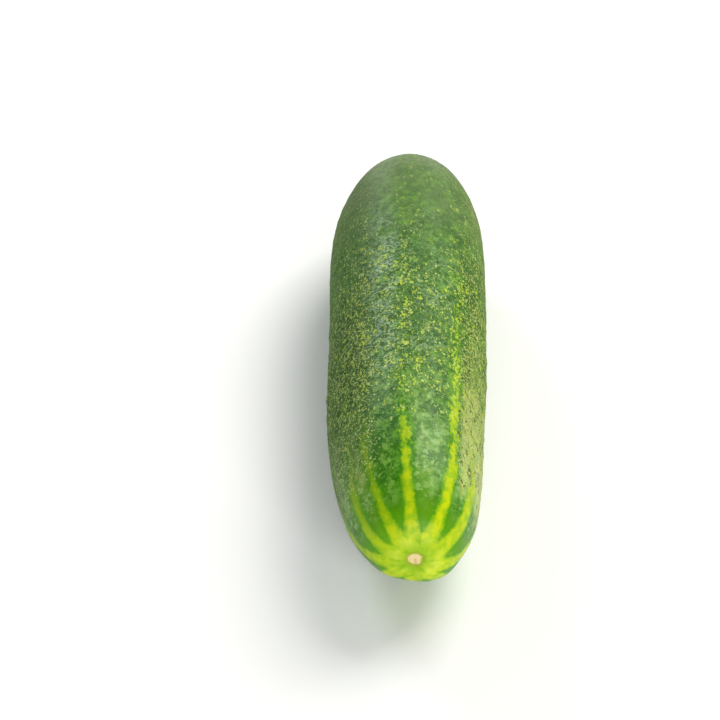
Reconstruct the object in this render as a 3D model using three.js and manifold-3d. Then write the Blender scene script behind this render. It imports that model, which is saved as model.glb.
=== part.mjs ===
// A fresh cucumber as picked: one long fruit lying on its side and the short
// cut stub of its stem. Millimetres, +Z up. The fruit lies along Y with its
// blossom end towards -Y and its stem end towards +Y, and rests on z = 0.

import * as THREE from 'three';
import { mergeVertices } from 'three/addons/utils/BufferGeometryUtils.js';
import Module from 'manifold-3d';

// ---------------------------------------------------------------------------
// Driving dimensions, mm unless the name says otherwise
// ---------------------------------------------------------------------------

const FRUIT_LENGTH = 199.0; // blossom tip to the rim round the stem
const FULL_RADIUS = 25.0; // at the fullest part, beyond the middle
const SCAR_RADIUS = 2.2; // corky scar where the flower sat
const SCAR_DEPTH = 0.45; // the scar lies below the lip round it
const STEM_SEAT_RADIUS = 4.9; // small flat seat where the stem joins
const STEM_SEAT_DEPTH = 0.7; // seat below the rim round it

const SEGMENTS_ROUND = 60; // facets round the fruit, six to a rib
const SEGMENTS_ALONG = 58; // rings from end to end
const PROFILE_SAMPLES = 1200; // fine samples of the outline, to place the rings

const LOBES = 3; // the three seed chambers show as a softly three-sided section
const LOBE_SHARE = 0.016; // swing of the radius round the section
const RIBS = 10; // low ribs that run back from the blossom end
const RIB_HEIGHT = 0.22; // of a rib above the mean radius
const RIB_FADE = 62.0; // the ribs have died away by here
const RIB_START = 2.5; // and start this far behind the tip
const RIB_PHASE_DEG = -2.0; // one rib stands almost at the very top

// Side and height of the fruit's centre line at five even steps along it
const AXIS_SIDE = [-0.2, -1.6, -0.2, 0.7, 2.2];
const AXIS_RISE = [-1.5, -0.75, 0.0, 0.65, 1.15];

const REST_CUT = 0.35; // the weight of the fruit flattens its belly by this

const STEM_GAP = 0.3; // parting gap between the stem stub and its seat
const STEM_LENGTH = 11.0; // from its foot to the cut
const STEM_FOOT_RADIUS = 4.2; // flared foot on the seat
const STEM_NECK_RADIUS = 2.7; // just above the foot
const STEM_CUT_RADIUS = 2.9; // at the cut end
const STEM_RIDGES = 5; // a cucumber stalk is five-ridged
const STEM_RIDGE_SHARE = 0.07;
const STEM_DROOP = 1.6; // the cut end hangs this far below the seat's middle
const STEM_SEGMENTS = 30;
const STEM_RINGS = 14;

// ---------------------------------------------------------------------------
// Outline of the fruit: [radius, distance behind the blossom tip]
// ---------------------------------------------------------------------------

const FRUIT_OUTLINE = [
  [SCAR_RADIUS, 0.25 + SCAR_DEPTH],
  [3.2, 0.34],
  [4.6, 0.58],
  [6.3, 1.1],
  [8.5, 2.1],
  [11.1, 4.0],
  [13.1, 6.2],
  [14.7, 8.7],
  [16.8, 13.2],
  [18.8, 20.0],
  [20.6, 30.0],
  [22.1, 43.0],
  [23.2, 60.0],
  [24.0, 80.0],
  [24.5, 105.0],
  [24.85, 128.0],
  [FULL_RADIUS, 146.0],
  [24.3, 159.5],
  [22.5, 170.0],
  [19.5, 180.0],
  [16.3, 187.0],
  [12.9, 192.3],
  [9.4, 196.2],
  [7.2, FRUIT_LENGTH - 0.9],
  [6.2, FRUIT_LENGTH - 0.3],
  [5.5, FRUIT_LENGTH - 0.25],
  [STEM_SEAT_RADIUS, FRUIT_LENGTH - STEM_SEAT_DEPTH],
];

// ---------------------------------------------------------------------------
// Shapes
// ---------------------------------------------------------------------------

/** A value that eases from 0 at `from` to 1 at `to`. */
function ease(value, from, to) {
  return THREE.MathUtils.smoothstep(value, from, to);
}

/** Even steps along the outline, with a point on the axis at each end. */
function fruitProfile() {
  const spline = new THREE.SplineCurve(FRUIT_OUTLINE.map(([r, along]) => new THREE.Vector2(r, along)));
  const fine = spline.getSpacedPoints(PROFILE_SAMPLES);
  // The rings crowd together where the outline turns fast, at the two ends.
  const reach = [0];
  for (let i = 1; i < fine.length; i += 1) {
    const step = fine[i].clone().sub(fine[i - 1]);
    const slope = Math.abs(step.x) / step.length();
    reach.push(reach[i - 1] + step.length() * (1 + 3 * slope));
  }
  const profile = [new THREE.Vector2(0, FRUIT_OUTLINE[0][1])];
  for (let ring = 0, i = 0; ring <= SEGMENTS_ALONG; ring += 1) {
    const wanted = (reach[reach.length - 1] * ring) / SEGMENTS_ALONG;
    while (i < fine.length - 1 && reach[i] < wanted) i += 1;
    profile.push(fine[i].clone());
  }
  profile.push(new THREE.Vector2(0, FRUIT_OUTLINE[FRUIT_OUTLINE.length - 1][1]));
  return profile;
}

const fruitAxis = new THREE.CatmullRomCurve3(
  AXIS_SIDE.map((side, i) => new THREE.Vector3(side, 0, AXIS_RISE[i])),
  false,
  'catmullrom',
  0.5,
);

/** The share that lobes and ribs add to the radius at a place on the fruit. */
function swell(along, angle) {
  const body = ease(along, 4, 45) * (1 - ease(along, 150, 192));
  const lobe = LOBE_SHARE * body * Math.cos(LOBES * angle);
  const rise = ease(along, RIB_START, RIB_START + 9) * (1 - ease(along, 18, RIB_FADE));
  const phase = THREE.MathUtils.degToRad(RIB_PHASE_DEG);
  const rib = (RIB_HEIGHT / FULL_RADIUS) * rise * Math.cos(RIBS * (angle - phase));
  return lobe + rib;
}

/** The whole fruit before its belly is flattened, its tip at y = 0. */
function fruitGeometry() {
  const geometry = new THREE.LatheGeometry(fruitProfile(), SEGMENTS_ROUND);
  const position = geometry.attributes.position;
  const point = new THREE.Vector3();
  for (let i = 0; i < position.count; i += 1) {
    point.fromBufferAttribute(position, i);
    const along = point.y;
    const angle = Math.atan2(point.x, point.z);
    const factor = 1 + swell(along, angle);
    const centre = fruitAxis.getPoint(THREE.MathUtils.clamp(along / FRUIT_LENGTH, 0, 1));
    position.setXYZ(i, centre.x + point.x * factor, along, centre.z + point.z * factor);
  }
  return geometry;
}

/** The stem stub, its foot centred on y = 0 and its cut towards +Y. */
function stemGeometry() {
  const outline = new THREE.SplineCurve([
    new THREE.Vector2(STEM_FOOT_RADIUS, 0),
    new THREE.Vector2(STEM_FOOT_RADIUS * 0.93, 0.9),
    new THREE.Vector2((STEM_FOOT_RADIUS + STEM_NECK_RADIUS) / 2.05, 2.2),
    new THREE.Vector2(STEM_NECK_RADIUS, 4.6),
    new THREE.Vector2((STEM_NECK_RADIUS + STEM_CUT_RADIUS) / 2.04, STEM_LENGTH * 0.7),
    new THREE.Vector2(STEM_CUT_RADIUS, STEM_LENGTH),
  ]).getSpacedPoints(STEM_RINGS);
  const profile = [new THREE.Vector2(0, 0), ...outline, new THREE.Vector2(0, STEM_LENGTH)];
  const geometry = new THREE.LatheGeometry(profile, STEM_SEGMENTS);
  const position = geometry.attributes.position;
  const point = new THREE.Vector3();
  for (let i = 0; i < position.count; i += 1) {
    point.fromBufferAttribute(position, i);
    const share = point.y / STEM_LENGTH;
    const angle = Math.atan2(point.x, point.z);
    const factor = 1 + STEM_RIDGE_SHARE * ease(share, 0.12, 0.4) * Math.cos(STEM_RIDGES * angle);
    position.setXYZ(i, point.x * factor, point.y, point.z * factor - STEM_DROOP * share * share);
  }
  return geometry;
}

// ---------------------------------------------------------------------------
// Solid cuts
// ---------------------------------------------------------------------------

const wasm = await Module();
wasm.setup();

/** A closed geometry as a solid that can be cut. */
function solidOf(geometry) {
  const bare = geometry.clone();
  bare.deleteAttribute('normal');
  bare.deleteAttribute('uv');
  const merged = mergeVertices(bare, 1e-4);
  const mesh = new wasm.Mesh({
    numProp: 3,
    vertProperties: new Float32Array(merged.attributes.position.array),
    triVerts: new Uint32Array(merged.index.array),
  });
  return new wasm.Manifold(mesh);
}

/** A solid as a geometry with flat-shaded normals. */
function geometryOf(solid) {
  const mesh = solid.getMesh();
  const geometry = new THREE.BufferGeometry();
  geometry.setAttribute('position', new THREE.BufferAttribute(new Float32Array(mesh.vertProperties), 3));
  geometry.setIndex(new THREE.BufferAttribute(new Uint32Array(mesh.triVerts), 1));
  geometry.computeVertexNormals();
  return geometry;
}

/** Cuts off everything below the height at which the belly lies flat. */
function flattenBelly(geometry) {
  geometry.computeBoundingBox();
  const { min, max } = geometry.boundingBox;
  const depth = FULL_RADIUS;
  const slab = new THREE.BoxGeometry((max.x - min.x) * 2, (max.y - min.y) * 1.5, depth);
  slab.translate((min.x + max.x) / 2, (min.y + max.y) / 2, min.z + REST_CUT - depth / 2);
  return geometryOf(solidOf(geometry).subtract(solidOf(slab)));
}

// ---------------------------------------------------------------------------
// Scene graph
// ---------------------------------------------------------------------------

const skin = new THREE.MeshStandardMaterial({ color: 0x4c7a26, roughness: 0.48, metalness: 0 });
const stalk = new THREE.MeshStandardMaterial({ color: 0x7f9a48, roughness: 0.7, metalness: 0 });

const group = new THREE.Group();

const fruit = new THREE.Mesh(flattenBelly(fruitGeometry()), skin);
fruit.name = 'fruit';
group.add(fruit);

const stem = new THREE.Mesh(stemGeometry(), stalk);
stem.name = 'stem_stub';
const seat = fruitAxis.getPoint(1);
stem.position.set(seat.x, FRUIT_LENGTH - STEM_SEAT_DEPTH + STEM_GAP, seat.z);
group.add(stem);

// The origin is at the middle of the bounding box's underside.
const box = new THREE.Box3().setFromObject(group, true);
group.position.set(-(box.min.x + box.max.x) / 2, -(box.min.y + box.max.y) / 2, -box.min.z);

export default group;
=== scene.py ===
"""A whole fresh cucumber lying on a pale floor, with its short cut stem stub.

The fruit lies along Y with its blossom end towards -Y. Lengths inside the classes are in millimetres
and angles in degrees round the fruit, 0 at the very top and positive towards +X.
"""

import logging
import math
from dataclasses import dataclass, field
from enum import Enum
from functools import reduce

import bpy
import numpy as np
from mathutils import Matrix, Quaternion, Vector, kdtree


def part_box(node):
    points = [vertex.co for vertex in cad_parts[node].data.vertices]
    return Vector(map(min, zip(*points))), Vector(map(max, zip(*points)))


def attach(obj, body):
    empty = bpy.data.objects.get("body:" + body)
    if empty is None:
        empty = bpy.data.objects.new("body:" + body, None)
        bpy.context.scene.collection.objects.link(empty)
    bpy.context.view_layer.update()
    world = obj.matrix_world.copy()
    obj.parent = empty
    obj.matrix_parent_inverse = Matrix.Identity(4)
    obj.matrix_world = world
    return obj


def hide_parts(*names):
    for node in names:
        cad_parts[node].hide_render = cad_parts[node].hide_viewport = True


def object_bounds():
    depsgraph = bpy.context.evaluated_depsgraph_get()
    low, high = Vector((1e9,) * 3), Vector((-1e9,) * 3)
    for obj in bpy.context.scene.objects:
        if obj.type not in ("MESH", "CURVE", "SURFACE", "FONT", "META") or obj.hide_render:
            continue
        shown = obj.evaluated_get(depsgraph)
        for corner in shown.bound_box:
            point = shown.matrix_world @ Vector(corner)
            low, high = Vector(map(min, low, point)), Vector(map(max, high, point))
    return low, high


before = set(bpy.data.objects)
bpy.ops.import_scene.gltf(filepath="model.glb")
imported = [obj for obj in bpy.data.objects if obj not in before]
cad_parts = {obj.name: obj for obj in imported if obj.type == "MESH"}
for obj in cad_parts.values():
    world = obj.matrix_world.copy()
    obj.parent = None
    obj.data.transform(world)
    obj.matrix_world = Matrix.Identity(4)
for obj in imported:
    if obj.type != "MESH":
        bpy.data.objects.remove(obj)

CAD_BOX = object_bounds()
LOG = logging.getLogger("cucumber")
MM = 0.001
TINY = 1e-12  # keeps a division from zero

Array = np.ndarray
Colour = tuple[float, float, float, float]
Material = bpy.types.Material
Node = bpy.types.Node
Object = bpy.types.Object
Socket = bpy.types.NodeSocket
Tree = bpy.types.NodeTree


# --- Named options ---------------------------------------------------------


class Slot(Enum):
    """Names for material slots, which no piece here is given."""

    SKIN = "cucumber_skin"
    STEM = "cut_stem"


class Field(Enum):
    """Values kept on the points of the meshes, which the materials read."""

    ALONG = "along"  # distance behind the blossom tip, mm
    REACH = "reach"  # distance over the skin from the middle of the scar, mm
    STRIPE = "stripe"  # how far inside a pale stripe, mm, negative outside
    GLOW = "glow"  # how yellow the nearest stripe is, 0 to 1
    FLECK = "fleck"  # how many loose flecks grow here, 0 to 1
    TONE = "tone"  # how pale the green is, about -1 to 1, with painted light, painted reflection and painted shadow in it
    SIDE = "side"  # -1 on the left flank to 1 on the right flank
    TOP = "top"  # 1 on the back of the fruit to -1 on its belly
    LIT_CREAM = "lit_cream"  # painted light: how far the lit right flank is painted a pale creamy green, 0 to 1
    SPINE = "spine"  # 1 at the dry tip of a wart or at the tip of a hair
    RIM = "rim"  # distance from the seat of the stem, mm, or 1 on the stem's cut face


Feed = Socket | Field | float | tuple[float, ...] | None  # none stands for the plain coordinates


# --- Helpers for numbers ---------------------------------------------------


def ease(value: Array, start: float, end: float) -> Array:
    """Share that eases from 0 where the value is start to 1 where it is end."""
    share = np.clip((value - start) / (end - start), 0.0, 1.0)
    return share * share * (3.0 - 2.0 * share)


def swathe(value: Array, start: float, full: float, fade: float, end: float, loss: float = 1.0) -> Array:
    """Share that eases in from start to full, and loses a part again from fade to end."""
    return ease(value, start, full) * (1.0 - loss * ease(value, fade, end))


def spline(points: Array, share: Array) -> Array:
    """Even-parameter smooth curve through control points.

    Args:
        points: Control points, one row each.
        share: Places along the curve, 0 to 1.

    Returns:
        One row of coordinates for each share.
    """
    last = len(points) - 1
    place = np.clip(share, 0.0, 1.0) * last
    low = np.minimum(place.astype(int), last - 1)
    t = (place - low)[:, None]
    p0 = points[np.maximum(low - 1, 0)]
    p1, p2 = points[low], points[low + 1]
    p3 = points[np.minimum(low + 2, last)]
    v0, v1 = (p2 - p0) / 2.0, (p3 - p1) / 2.0
    cubic = (2.0 * p1 - 2.0 * p2 + v0 + v1) * t**3
    return cubic + (3.0 * p2 - 3.0 * p1 - 2.0 * v0 - v1) * t**2 + v0 * t + p1


def turned(angle: Array, centre: float | Array) -> Array:
    """Turn from a direction round the fruit to others, -180 to 180 degrees."""
    return (angle - centre + 180.0) % 360.0 - 180.0


class LatticeNoise:
    """Smooth noise through space, the same on every run."""

    SIDE = 40

    def __init__(self, seed: int) -> None:
        """Draws the lattice that a seed picks."""
        self.table = np.random.default_rng(seed).uniform(-1.0, 1.0, (self.SIDE,) * 3)

    def at(self, points: Array, cell: float) -> Array:
        """Noise at points.

        Args:
            points: Places, one row each, mm.
            cell: Size of one lattice step, mm.

        Returns:
            One value for each point, between -1 and 1.
        """
        place = points / cell
        low = np.floor(place).astype(int)
        t = place - low
        t = t * t * (3.0 - 2.0 * t)
        total = np.zeros(len(points))
        for corner in range(8):
            bits = np.array([corner & 1, corner >> 1 & 1, corner >> 2 & 1])
            weight = np.prod(np.where(bits, t, 1.0 - t), axis=1)
            index = (low + bits) % self.SIDE
            total += weight * self.table[index[:, 0], index[:, 1], index[:, 2]]
        return total


# --- Helpers for shader nodes ----------------------------------------------


def rgb(red: int, green: int, blue: int) -> Colour:
    """Colour for a shader socket from the eight-bit numbers of a screen colour."""
    shares = (part / 255.0 for part in (red, green, blue))
    return (*(s / 12.92 if s <= 0.04045 else ((s + 0.055) / 1.055) ** 2.4 for s in shares), 1.0)


class Graph:
    """Places and links the nodes of one material or node group."""

    def __init__(self, tree: Tree) -> None:
        """Starts on a tree, with nothing read yet."""
        self.tree = tree
        self.read: dict[Field | float, Socket] = {}

    def node(self, kind: str, feeds: dict[str | int, Feed] | None = None, **settings: object) -> Node:
        """Adds a node.

        Args:
            kind: Name of the node type.
            feeds: What goes into its inputs, by their names or numbers.
            **settings: Properties to set on it.

        Returns:
            The new node.
        """
        made = self.tree.nodes.new(kind)
        for name, value in settings.items():
            setattr(made, name, value)
        for name, value in (feeds or {}).items():
            self.feed(made.inputs[name], value)
        return made

    def feed(self, socket: Socket, value: Feed) -> None:
        """Links a socket or sets its value.

        Args:
            socket: The input to feed.
            value: An output or a field to link, nothing for the plain coordinates, or a plain value.
        """
        if value is None:
            value = self.place()
        if isinstance(value, Field):
            value = self.field(value)
        if isinstance(value, Socket):
            self.tree.links.new(value, socket)
        else:
            socket.default_value = value

    def field(self, name: Field) -> Socket:
        """Reads a value kept on the mesh."""
        if name not in self.read:
            self.read[name] = self.node("ShaderNodeAttribute", attribute_name=name.value).outputs["Fac"]
        return self.read[name]

    def place(self, drawn: float = 1.0) -> Socket:
        """The object's own coordinates, times a factor along the fruit that draws patterns out."""
        if drawn not in self.read:
            plain = self.node("ShaderNodeTexCoord").outputs["Object"]
            feeds = {"Vector": plain, "Scale": (1.0, drawn, 1.0)}
            self.read[drawn] = self.node("ShaderNodeMapping", feeds, vector_type="POINT").outputs[0]
        return self.read[drawn]

    def math(self, operation: str, first: Feed, second: Feed = 0.0) -> Socket:
        """One sum on two values, such as ADD."""
        return self.node("ShaderNodeMath", {0: first, 1: second}, operation=operation).outputs[0]

    def add(self, *values: Feed) -> Socket:
        """Adds up several values."""
        return reduce(lambda total, value: self.math("ADD", total, value), values)

    def times(self, *values: Feed) -> Socket:
        """Multiplies several values."""
        return reduce(lambda total, value: self.math("MULTIPLY", total, value), values)

    def vector(self, operation: str, first: Feed, second: Feed) -> Socket:
        """One sum on a vector and a second one, or a number that scales it."""
        feeds = {0: first, "Scale" if operation == "SCALE" else 1: second}
        return self.node("ShaderNodeVectorMath", feeds, operation=operation).outputs[0]

    def span(self, value: Feed, start: float, end: float, low: float = 0.0, high: float = 1.0,
             curve: str = "SMOOTHSTEP") -> Socket:
        """Maps a value, from low at start to high at end and no further, on a named curve."""
        feeds = dict(enumerate((value, start, end, low, high)))
        return self.node("ShaderNodeMapRange", feeds, interpolation_type=curve).outputs[0]

    def mix(self, share: Feed, first: Feed, second: Feed) -> Socket:
        """Mixes the second colour into the first by a share from 0 to 1."""
        feeds = {"Factor": share, 6: first, 7: second}
        return self.node("ShaderNodeMix", feeds, data_type="RGBA").outputs[2]

    def ramp(self, value: Feed, *stops: tuple[float, Colour]) -> Socket:
        """Picks a colour along a ramp.

        Args:
            value: Place on the ramp, 0 to 1.
            *stops: Place and colour of each stop.

        Returns:
            The colour.
        """
        made = self.node("ShaderNodeValToRGB", {0: value})
        elements = made.color_ramp.elements
        while len(elements) < len(stops):
            elements.new(0.5)
        for element, (position, colour) in zip(elements, stops):
            element.position, element.color = position, colour
        return made.outputs["Color"]

    def noise(self, size: float, where: Feed = None, detail: float = 2.0, rough: float = 0.5,
              output: str = "Fac") -> Socket:
        """Cloudy noise.

        Args:
            size: Size of its largest blobs, mm.
            where: Coordinates, metres.
            detail: Number of finer layers.
            rough: Strength of each finer layer.
            output: Fac for a value around 0.5, or Color for three of them.

        Returns:
            The noise.
        """
        feeds = {"Vector": where, "Scale": 1.0 / (size * MM), "Detail": detail, "Roughness": rough}
        return self.node("ShaderNodeTexNoise", feeds).outputs[output]

    def sway(self, size: float, reach: float, where: Feed = None) -> Socket:
        """Noise with blobs of a size in mm that swings by its reach to both sides of zero."""
        return self.span(self.noise(size, where, 3.0, 0.6), 0.25, 0.75, -reach, reach, "LINEAR")

    def bent(self, size: float, reach: Feed, middle: float = 0.5) -> Socket:
        """Plain coordinates pushed about by noise.

        Args:
            size: Size of the noise's largest blobs, mm.
            reach: How far it pushes, metres.
            middle: Noise that doesn't push.

        Returns:
            The coordinates.
        """
        push = self.vector("SUBTRACT", self.noise(size, output="Color"), (middle,) * 3)
        return self.vector("ADD", None, self.vector("SCALE", push, reach))

    def cells(self, size: float, where: Feed = None) -> tuple[Socket, Socket]:
        """Distance in a pattern of irregular cells of a mean size in mm, and a colour for each cell."""
        feeds = {"Vector": where, "Scale": 1.0 / (size * MM)}
        made = self.node("ShaderNodeTexVoronoi", feeds, feature="F1")
        return made.outputs["Distance"], made.outputs["Color"]

    def bump(self, height: Feed, depth: float, below: Socket | None = None, strength: Feed = 1.0) -> Socket:
        """Turns a height into a normal.

        Args:
            height: The height, 0 to 1.
            depth: Real depth of one unit of height, mm.
            below: Normal of the layer underneath, if any.
            strength: Share of the depth that shows.

        Returns:
            The normal.
        """
        feeds = {"Distance": depth * MM, "Strength": strength, "Height": height}
        if below is not None:
            feeds["Normal"] = below
        return self.node("ShaderNodeBump", feeds).outputs["Normal"]


# --- Effects that more than one finish uses --------------------------------


@dataclass(frozen=True)
class Effects:
    """The shared node groups, built once."""

    grain: Tree
    specks: Tree

    @staticmethod
    def build() -> "Effects":
        """Builds both groups."""
        return Effects(grain=Effects.make_grain(), specks=Effects.make_specks())

    @staticmethod
    def start(name: str, inputs: dict[str, float], outputs: tuple[str, ...]) -> tuple[Graph, Node, Node]:
        """Starts a group whose plain coordinates are its Place divided by its Size.

        Args:
            name: The group's name.
            inputs: Its inputs besides Place, with their first values.
            outputs: Its outputs.

        Returns:
            Its graph, its input node and its output node.
        """
        tree = bpy.data.node_groups.new(name, "ShaderNodeTree")
        add = tree.interface.new_socket
        add(name="Place", in_out="INPUT", socket_type="NodeSocketVector")
        for label, value in inputs.items():
            add(name=label, in_out="INPUT", socket_type="NodeSocketFloat").default_value = value
        for label in outputs:
            add(name=label, in_out="OUTPUT", socket_type="NodeSocketFloat")
        graph = Graph(tree)
        entry, out = graph.node("NodeGroupInput"), graph.node("NodeGroupOutput")
        shrink = graph.math("DIVIDE", 1.0, entry.outputs["Size"])
        graph.read[1.0] = graph.vector("SCALE", entry.outputs["Place"], shrink)
        return graph, entry, out

    @staticmethod
    def make_grain() -> Tree:
        """Fine uneven surface of plant skin: pimples, some of them in rougher clouds.

        Returns:
            A group with a height and a mask of the small pits.
        """
        graph, _, out = Effects.start("plant grain", {"Size": 1.0}, ("Height", "Pits"))
        dome = graph.span(graph.cells(1.0)[0], 0.75, 0.05)
        clouds = graph.noise(1.6, detail=3.0, rough=0.6)
        height = graph.add(graph.times(dome, clouds), graph.times(clouds, 0.4))
        graph.feed(out.inputs["Height"], height)
        graph.feed(out.inputs["Pits"], graph.span(height, 0.42, 0.2))
        return graph.tree

    @staticmethod
    def make_specks() -> Tree:
        """Small specks of many sizes, round or ragged.

        Returns:
            A group with a mask of the specks and a soft dome over each.
        """
        inputs = {"Size": 1.0, "Amount": 0.5, "Ragged": 0.3, "Girth": 1.0}
        graph, entry, out = Effects.start("specks", inputs, ("Mask", "Dome"))
        bent = graph.bent(0.625, graph.times(entry.outputs["Ragged"], 4.0 * MM))
        distance, colour = graph.cells(1.0, bent)
        lots = graph.node("ShaderNodeSeparateColor", {0: colour}).outputs
        present = graph.span(graph.math("SUBTRACT", entry.outputs["Amount"], lots["Red"]), 0.0, 0.12)
        radius = graph.times(graph.span(lots["Green"], 0.0, 1.0, 0.2, 0.46), entry.outputs["Girth"])
        inside = graph.math("SUBTRACT", radius, distance)
        graph.feed(out.inputs["Mask"], graph.times(present, graph.span(inside, -0.04, 0.1)))
        graph.feed(out.inputs["Dome"], graph.times(present, graph.span(inside, -0.16, 0.3)))
        return graph.tree


class Coat(Graph):
    """One material in the making, whose colours are laid over each other."""

    def __init__(self, name: str, effects: Effects | None = None) -> None:
        """Starts the material.

        Args:
            name: The material's name.
            effects: The shared node groups, if it uses any.
        """
        self.material = bpy.data.materials.new(name)
        self.material.use_nodes = True
        super().__init__(self.material.node_tree)
        self.effects = effects
        self.colour: Feed = rgb(0, 0, 0)

    def over(self, share: Feed, tint: Feed) -> None:
        """Lays a colour over what is there, by a share from 0 to 1."""
        self.colour = self.mix(share, self.colour, tint)

    def specks(self, size: float, amount: Feed, ragged: float = 0.3, girth: float = 1.0,
               where: Feed = None) -> tuple[Socket, Socket]:
        """Scatters specks.

        Args:
            size: Mean distance between them, mm.
            amount: Share of the places that have one.
            ragged: How ragged they are.
            girth: How wide they are.
            where: Coordinates, metres.

        Returns:
            Their mask, and the soft dome over each.
        """
        feeds = {"Place": where, "Size": size, "Amount": amount, "Ragged": ragged, "Girth": girth}
        made = self.node("ShaderNodeGroup", feeds, node_tree=self.effects.specks)
        return made.outputs["Mask"], made.outputs["Dome"]

    def grain(self, size: float, where: Feed = None) -> tuple[Socket, Socket]:
        """Height of the plant grain at a size in mm, and its pits."""
        made = self.node("ShaderNodeGroup", {"Place": where, "Size": size}, node_tree=self.effects.grain)
        return made.outputs["Height"], made.outputs["Pits"]

    def finish(self, **values: Feed) -> Material:
        """Feeds the shader.

        Args:
            **values: Its inputs besides the colour, with underscores for spaces.

        Returns:
            The finished material.
        """
        shader = next(node for node in self.tree.nodes if node.type == "BSDF_PRINCIPLED")
        self.feed(shader.inputs["Base Color"], self.colour)
        for name, value in values.items():
            self.feed(shader.inputs[name.replace("_", " ")], value)
        return self.material


# --- Finishes --------------------------------------------------------------


@dataclass(frozen=True)
class SkinFinish:
    """Waxy cucumber skin: greens, pale stripes and flecks, pimples, scar and grain, with painted light,
    painted shade and painted glints.
    """

    greens: tuple[tuple[float, Colour], ...] = (
        (0.0, rgb(22, 78, 0)), (0.38, rgb(52, 102, 6)), (0.68, rgb(90, 142, 26)), (1.0, rgb(146, 166, 66)),
    )
    vivid: Colour = rgb(66, 138, 0)
    lively: Colour = rgb(110, 168, 0)
    stripe: Colour = rgb(182, 198, 10)
    stripe_soft: Colour = rgb(146, 182, 12)
    stripe_rim: Colour = rgb(104, 158, 6)
    fleck: Colour = rgb(186, 206, 50)
    fleck_pale: Colour = rgb(198, 214, 112)
    fleck_dry: Colour = rgb(188, 150, 30)
    dust: Colour = rgb(180, 206, 112)
    # painted light: the pimples' pale tips on the lit right flank
    dust_lit: Colour = rgb(192, 202, 120)
    # painted shade: laid over the flanks, into the pimples' hollows and into the cells between the wrinkles
    shade: Colour = rgb(34, 70, 2)
    shade_green: Colour = rgb(36, 96, 0)
    # painted glints: whitish where the window lamp reflects, greener elsewhere
    glint: Colour = rgb(166, 188, 156)
    glint_green: Colour = rgb(122, 162, 86)
    dab: Colour = rgb(118, 166, 62)
    # painted reflection: the whitish tint of the dabs where the tone is pale
    dab_sheen: Colour = rgb(150, 188, 104)
    # painted light: the pale creamy green of the lit right flank
    lit_cream: Colour = rgb(194, 204, 106)
    star: Colour = rgb(118, 164, 0)
    star_pale: Colour = rgb(188, 202, 58)
    spine: Colour = rgb(186, 168, 84)
    scar: Colour = rgb(208, 190, 142)
    # painted shade in the dips round the scar and the stem's seat
    ring_shade: Colour = rgb(142, 150, 40)
    dull: Colour = rgb(112, 126, 84)
    smooth: float = 0.3  # roughness at the blossom end
    coarse: float = 0.41  # and from the middle on
    bending: float = 1.42  # index of refraction
    gleam: float = 0.22  # strength of the reflections

    def ground(self, coat: Coat) -> None:
        """Mottled green, painted a pale creamy green on the right flank as painted light where the key lamp
        falls.

        Args:
            coat: The skin in the making.
        """
        spots = coat.span(coat.cells(3.3, coat.place(0.85))[0], 0.62, 0.2)
        spots = coat.times(spots, coat.noise(5.0), coat.span(Field.ALONG, 6.0, 22.0, 0.3, 1.1))
        small = coat.times(coat.sway(1.5, 0.4), coat.span(Field.ALONG, 6.0, 40.0, 0.35, 1.0))
        tone = coat.add(Field.TONE, coat.sway(8.0, 0.45), small, spots)
        coat.colour = coat.ramp(coat.span(tone, -1.0, 1.6, curve="LINEAR"), *self.greens)
        fresh = coat.times(coat.span(Field.ALONG, 40.0, 4.0), coat.span(tone, 0.5, -0.5), 0.7)
        coat.over(fresh, self.vivid)
        coat.over(coat.span(Field.REACH, 22.0, 10.0, 0.0, 0.5), self.lively)
        # Painted light: the right flank turns a pale creamy green where the key lamp falls.
        uneven = coat.times(coat.sway(5.0, 0.3), coat.span(Field.LIT_CREAM, 0.0, 0.3))
        lit_share = coat.span(coat.add(Field.LIT_CREAM, uneven), 0.05, 0.95)
        grain = coat.span(coat.noise(1.6, coat.place(0.5), 3.0), 0.36, 0.56, 0.6, 1.0)
        coat.over(coat.times(lit_share, grain), self.lit_cream)

    def dabs(self, coat: Coat) -> None:
        """Soft paler dabs between the stripes, the skin's own mottling, turned whitish where the tone is
        pale as a painted reflection of the key lamp.

        Args:
            coat: The skin in the making.
        """
        zone = coat.times(coat.span(Field.ALONG, 5.0, 12.0), coat.span(Field.ALONG, 72.0, 40.0, 0.12, 1.0))
        pale = coat.span(Field.TONE, -0.2, 0.35)
        # Where the tone is pale the dabs take a whitish painted reflection.
        tint = coat.mix(pale, self.dab, self.dab_sheen)
        drawn = coat.place(0.8)
        deep = coat.span(coat.noise(2.4, drawn), 0.42, 0.6)
        coat.over(coat.times(deep, zone, coat.span(pale, 0.6, 0.0), 0.6), self.shade_green)
        broad, small = coat.specks(3.4, 0.8, 0.5, 1.4), coat.specks(1.9, 0.7, 0.5, 1.5, drawn)
        coat.over(coat.times(broad[1], zone, 0.45), tint)
        coat.over(coat.times(small[1], zone, 0.7), tint)

    def wrinkle_glints(self, coat: Coat) -> Socket:
        """Painted glints on the fine wrinkles between the stripes, whitest where the window lamp reflects,
        with painted shade in the cells between them.

        Args:
            coat: The skin in the making.

        Returns:
            Height of the wrinkles' net.
        """
        net = coat.span(coat.cells(2.6, coat.bent(1.0 / 0.45, 1.6 * MM, 0.0))[0], 0.2, 0.5)
        broken = coat.span(coat.noise(0.9, detail=3.0, rough=0.6), 0.46, 0.58)
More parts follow.
